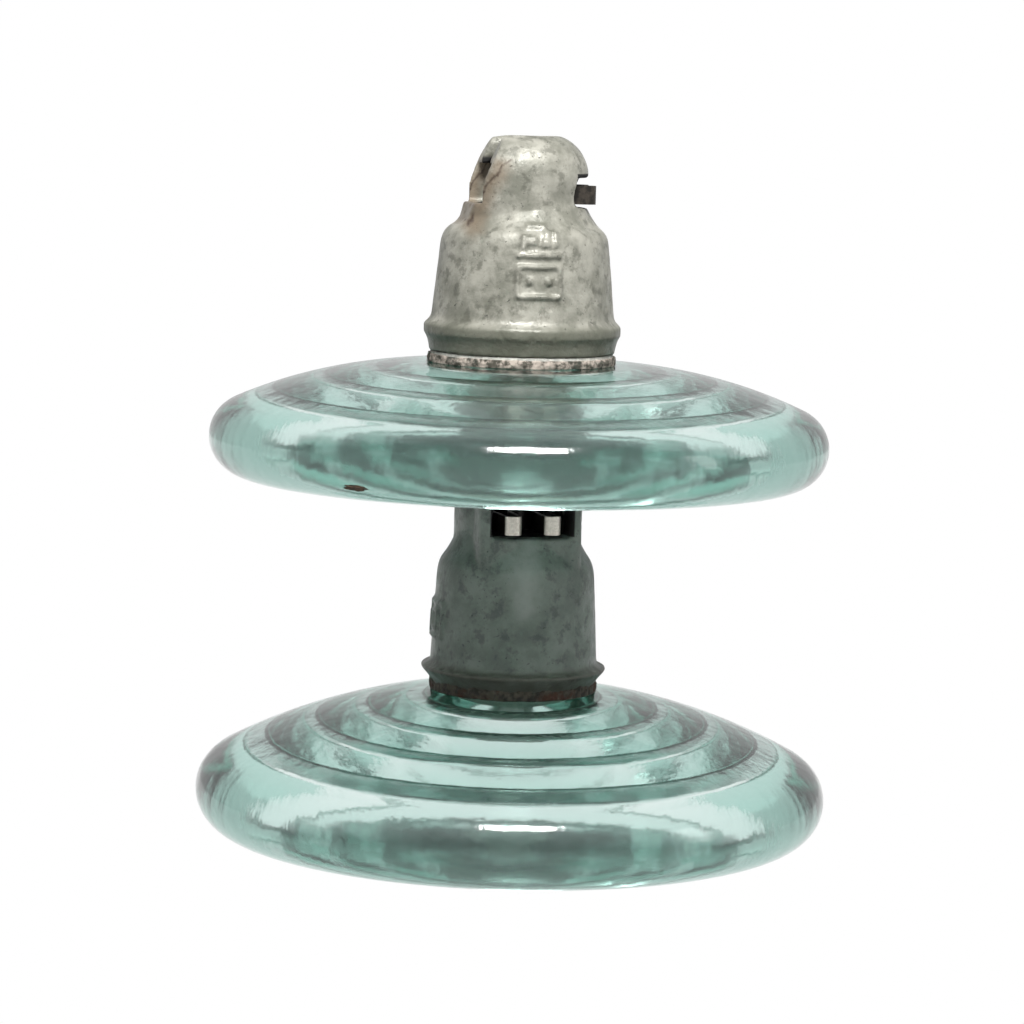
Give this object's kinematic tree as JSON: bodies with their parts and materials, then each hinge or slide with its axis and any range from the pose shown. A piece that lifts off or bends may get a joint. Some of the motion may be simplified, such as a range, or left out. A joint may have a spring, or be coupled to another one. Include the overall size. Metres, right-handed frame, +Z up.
{
  "type": "suspension insulator string",
  "caption": "Short suspension string of cap-and-pin toughened-glass disc insulators, coupled by ball and socket, with W-clip locks in the socket caps.",
  "frame": {"origin": "centre of the spherical seat in the upper socket, where the ball of the hardware above bears", "axes": "+Z up along the string, +X towards the window of the upper cap's clip, so the upper socket's entrance faces -X"},
  "size_m": [0.261, 0.261, 0.2884],
  "materials": {
    "upper_cap_zinc": "hot-dip galvanised casting, pale grey, stained",
    "lower_cap_zinc": "hot-dip galvanised casting, weathered dark grey",
    "shell_glass": "polished green soda-lime glass, toughened",
    "cement": "rough cement",
    "cushion": "matt",
    "galvanised_pin": "hot-dip galvanised forging",
    "clip_steel": "bright stainless strip"
  },
  "bodies": {
    "upper_unit": {"upper_cap": "upper_cap_zinc", "upper_head_cushion": "cushion", "upper_cap_cement": "cement", "upper_glass_shell": "shell_glass", "upper_pin_cement": "cement", "upper_pin_cushion": "cushion", "upper_pin": "galvanised_pin"},
    "lower_unit": {"lower_cap": "lower_cap_zinc", "lower_head_cushion": "cushion", "lower_cap_cement": "cement", "lower_glass_shell": "shell_glass", "lower_pin_cement": "cement", "lower_pin_cushion": "cushion", "lower_pin": "galvanised_pin"},
    "upper_clip": {"upper_clip": "clip_steel"},
    "lower_clip": {"lower_clip": "clip_steel"}
  },
  "joints": [
    {"name": "string_swing", "type": "hinge", "parent": "upper_unit", "child": "lower_unit", "pos_m": [0, 0, -0.134], "axis": [0, 1, 0], "range_deg": [-5, 5]},
    {"name": "upper_clip_slide", "type": "slide", "parent": "upper_unit", "child": "upper_clip", "axis": [1, 0, 0], "range_m": [0, 0.015]},
    {"name": "lower_clip_slide", "type": "slide", "parent": "lower_unit", "child": "lower_clip", "axis": [0.0872, -0.9962, 0], "range_m": [0, 0.015]}
  ]
}
